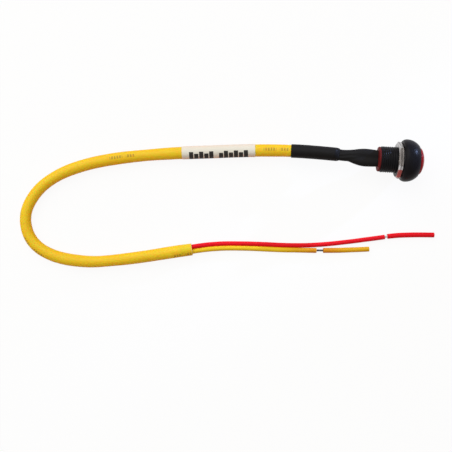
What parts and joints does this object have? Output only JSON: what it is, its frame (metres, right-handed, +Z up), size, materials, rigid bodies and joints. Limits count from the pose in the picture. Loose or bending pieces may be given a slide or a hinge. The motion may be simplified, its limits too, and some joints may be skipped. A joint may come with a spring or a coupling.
{
  "type": "panic button",
  "caption": "Round push button with a domed head, threaded panel barrel with a hexagonal nut, and a two-core flying lead laid in a loop.",
  "frame": {"origin": "on the surface that the part lies on, under the middle of the button's length", "axes": "+X along the button's axis towards its red push cap, +Z up; the lead leaves the rear end towards -X and turns back on the -Y side"},
  "size_m": [0.1953, 0.0671, 0.0196],
  "materials": {
    "bezel_black": "moulded, satin gloss",
    "cap_red": "moulded, glossy",
    "base_red": "moulded, satin",
    "nut_nickel": "nickel plated, bright",
    "seal_rubber": "matt",
    "spring_steel": "bright wire",
    "contact_brass": "bright",
    "solder_tin": "bright solder",
    "shrink_black": "heat-shrink tube, semi-matt",
    "jacket_yellow": "soft PVC, semi-matt",
    "label_cream": "semi-matt sleeve",
    "core_red": "PVC insulation",
    "core_yellow": "PVC insulation",
    "tinned_wire": "tinned copper strands"
  },
  "bodies": {
    "casing": {"housing": "bezel_black", "contact_base": "base_red", "terminal_red": "contact_brass", "terminal_yellow": "contact_brass", "solder_red": "solder_tin", "solder_yellow": "solder_tin", "panel_seal": "seal_rubber", "return_spring": "spring_steel", "joint_sleeve": "shrink_black", "cable_sleeve": "shrink_black", "cable_jacket": "jacket_yellow", "label_sleeve": "label_cream", "red_core": "core_red", "yellow_core": "core_yellow", "red_tail": "core_red", "yellow_tail": "core_yellow", "red_conductor": "tinned_wire", "yellow_conductor": "tinned_wire", "red_slug": "core_red", "yellow_slug": "core_yellow"},
    "push_button": {"red_button": "cap_red", "button_seal": "seal_rubber", "contact_bridge": "contact_brass", "bridge_clip": "spring_steel"},
    "nut": {"panel_nut": "nut_nickel"}
  },
  "joints": [
    {"name": "button_press", "type": "slide", "parent": "casing", "child": "push_button", "axis": [-1, 0, 0], "range_m": [0, 0.0015], "stiffness_N_per_m": 800, "springref_m": -0.0015, "deforming": ["return_spring"]},
    {"name": "nut_travel", "type": "slide", "parent": "casing", "child": "nut", "axis": [-1, 0, 0], "range_m": [0, 0.0068]}
  ]
}
